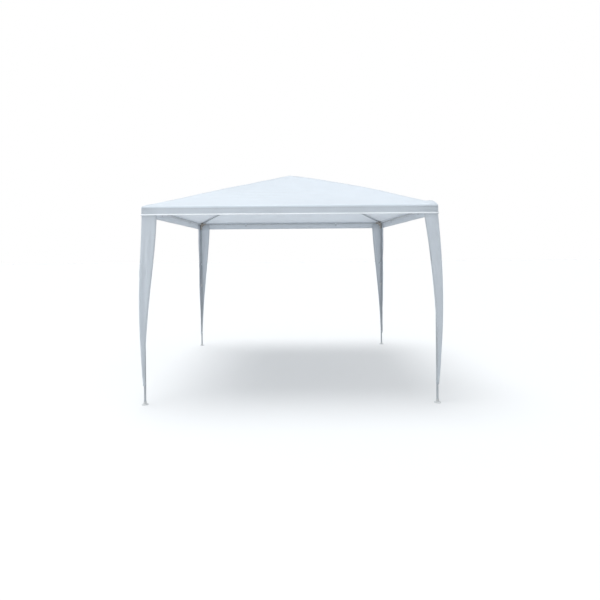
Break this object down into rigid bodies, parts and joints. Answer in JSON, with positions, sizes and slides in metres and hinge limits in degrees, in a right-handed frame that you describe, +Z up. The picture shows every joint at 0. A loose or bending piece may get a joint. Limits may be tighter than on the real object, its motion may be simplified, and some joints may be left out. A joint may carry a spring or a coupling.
{
  "type": "pole canopy",
  "caption": "Square four-leg event canopy: light grey steel poles in moulded corner and peak connectors, pyramid fabric roof with a short valance and tapered corner drapes down the legs.",
  "frame": {"origin": "on the ground, midway between the four legs", "axes": "+Z up; front side towards -Y, +X to the right of someone who faces the front"},
  "size_m": [3.03, 3.03, 2.55],
  "materials": {
    "coated_steel": "satin light grey powder coat",
    "connector_plastic": "moulded, fine texture",
    "light_grey_plastic": "moulded, fine texture",
    "button_steel": "plated steel",
    "spring_steel": "bare spring steel",
    "cover_fabric": "white woven and coated polyethylene, ribbed",
    "tie_webbing": "white hook-and-loop webbing"
  },
  "bodies": {
    "root": {"corner_connector_front_left": "connector_plastic", "rafter_front_left_lower": "coated_steel", "rafter_front_left_upper": "coated_steel", "leg_upper_front_left": "coated_steel", "leg_collar_front_left": "light_grey_plastic", "leg_drape_front_left": "cover_fabric", "corner_connector_front_right": "connector_plastic", "rafter_front_right_lower": "coated_steel", "rafter_front_right_upper": "coated_steel", "leg_upper_front_right": "coated_steel", "leg_collar_front_right": "light_grey_plastic", "leg_drape_front_right": "cover_fabric", "corner_connector_back_right": "connector_plastic", "rafter_back_right_lower": "coated_steel", "rafter_back_right_upper": "coated_steel", "leg_upper_back_right": "coated_steel", "leg_collar_back_right": "light_grey_plastic", "leg_drape_back_right": "cover_fabric", "corner_connector_back_left": "connector_plastic", "rafter_back_left_lower": "coated_steel", "rafter_back_left_upper": "coated_steel", "leg_upper_back_left": "coated_steel", "leg_collar_back_left": "light_grey_plastic", "leg_drape_back_left": "cover_fabric", "eave_tube_front_swaged": "coated_steel", "eave_tube_front_plain": "coated_steel", "eave_tube_right_swaged": "coated_steel", "eave_tube_right_plain": "coated_steel", "eave_tube_back_swaged": "coated_steel", "eave_tube_back_plain": "coated_steel", "eave_tube_left_swaged": "coated_steel", "eave_tube_left_plain": "coated_steel", "peak_connector": "connector_plastic", "roof_cover": "cover_fabric", "valance": "cover_fabric", "cover_ties": "tie_webbing", "corner_springs": "spring_steel"},
    "lower_leg_front_left": {"leg_lower_front_left": "coated_steel", "foot_front_left": "light_grey_plastic", "leg_spring_front_left": "spring_steel"},
    "leg_button_front_left": {"leg_button_front_left": "button_steel"},
    "corner_button_front_left": {"corner_button_front_left": "button_steel"},
    "lower_leg_front_right": {"leg_lower_front_right": "coated_steel", "foot_front_right": "light_grey_plastic", "leg_spring_front_right": "spring_steel"},
    "leg_button_front_right": {"leg_button_front_right": "button_steel"},
    "corner_button_front_right": {"corner_button_front_right": "button_steel"},
    "lower_leg_back_right": {"leg_lower_back_right": "coated_steel", "foot_back_right": "light_grey_plastic", "leg_spring_back_right": "spring_steel"},
    "leg_button_back_right": {"leg_button_back_right": "button_steel"},
    "corner_button_back_right": {"corner_button_back_right": "button_steel"},
    "lower_leg_back_left": {"leg_lower_back_left": "coated_steel", "foot_back_left": "light_grey_plastic", "leg_spring_back_left": "spring_steel"},
    "leg_button_back_left": {"leg_button_back_left": "button_steel"},
    "corner_button_back_left": {"corner_button_back_left": "button_steel"}
  },
  "joints": [
    {"name": "leg_length_front_left", "type": "slide", "parent": "root", "child": "lower_leg_front_left", "axis": [0, 0, 1], "range_m": [0, 0.15], "deforming": ["leg_spring_front_left", "leg_button_front_left"]},
    {"name": "leg_button_press_front_left", "type": "slide", "parent": "lower_leg_front_left", "child": "leg_button_front_left", "axis": [-0.7071, -0.7071, 0], "range_m": [0, 0.0049], "stiffness_N_per_m": 600, "springref_m": -0.003, "deforming": ["leg_spring_front_left"]},
    {"name": "corner_button_press_front_left", "type": "slide", "parent": "root", "child": "corner_button_front_left", "axis": [-0.7071, -0.7071, 0], "range_m": [0, 0.0066], "stiffness_N_per_m": 600, "springref_m": -0.003, "deforming": ["corner_springs"]},
    {"name": "leg_length_front_right", "type": "slide", "parent": "root", "child": "lower_leg_front_right", "axis": [0, 0, 1], "range_m": [0, 0.15], "deforming": ["leg_spring_front_right", "leg_button_front_right"]},
    {"name": "leg_button_press_front_right", "type": "slide", "parent": "lower_leg_front_right", "child": "leg_button_front_right", "axis": [0.7071, -0.7071, 0], "range_m": [0, 0.0049], "stiffness_N_per_m": 600, "springref_m": -0.003, "deforming": ["leg_spring_front_right"]},
    {"name": "corner_button_press_front_right", "type": "slide", "parent": "root", "child": "corner_button_front_right", "axis": [0.7071, -0.7071, 0], "range_m": [0, 0.0066], "stiffness_N_per_m": 600, "springref_m": -0.003, "deforming": ["corner_springs"]},
    {"name": "leg_length_back_right", "type": "slide", "parent": "root", "child": "lower_leg_back_right", "axis": [0, 0, 1], "range_m": [0, 0.15], "deforming": ["leg_spring_back_right", "leg_button_back_right"]},
    {"name": "leg_button_press_back_right", "type": "slide", "parent": "lower_leg_back_right", "child": "leg_button_back_right", "axis": [0.7071, 0.7071, 0], "range_m": [0, 0.0049], "stiffness_N_per_m": 600, "springref_m": -0.003, "deforming": ["leg_spring_back_right"]},
    {"name": "corner_button_press_back_right", "type": "slide", "parent": "root", "child": "corner_button_back_right", "axis": [0.7071, 0.7071, 0], "range_m": [0, 0.0066], "stiffness_N_per_m": 600, "springref_m": -0.003, "deforming": ["corner_springs"]},
    {"name": "leg_length_back_left", "type": "slide", "parent": "root", "child": "lower_leg_back_left", "axis": [0, 0, 1], "range_m": [0, 0.15], "deforming": ["leg_spring_back_left", "leg_button_back_left"]},
    {"name": "leg_button_press_back_left", "type": "slide", "parent": "lower_leg_back_left", "child": "leg_button_back_left", "axis": [-0.7071, 0.7071, 0], "range_m": [0, 0.0049], "stiffness_N_per_m": 600, "springref_m": -0.003, "deforming": ["leg_spring_back_left"]},
    {"name": "corner_button_press_back_left", "type": "slide", "parent": "root", "child": "corner_button_back_left", "axis": [-0.7071, 0.7071, 0], "range_m": [0, 0.0066], "stiffness_N_per_m": 600, "springref_m": -0.003, "deforming": ["corner_springs"]}
  ]
}
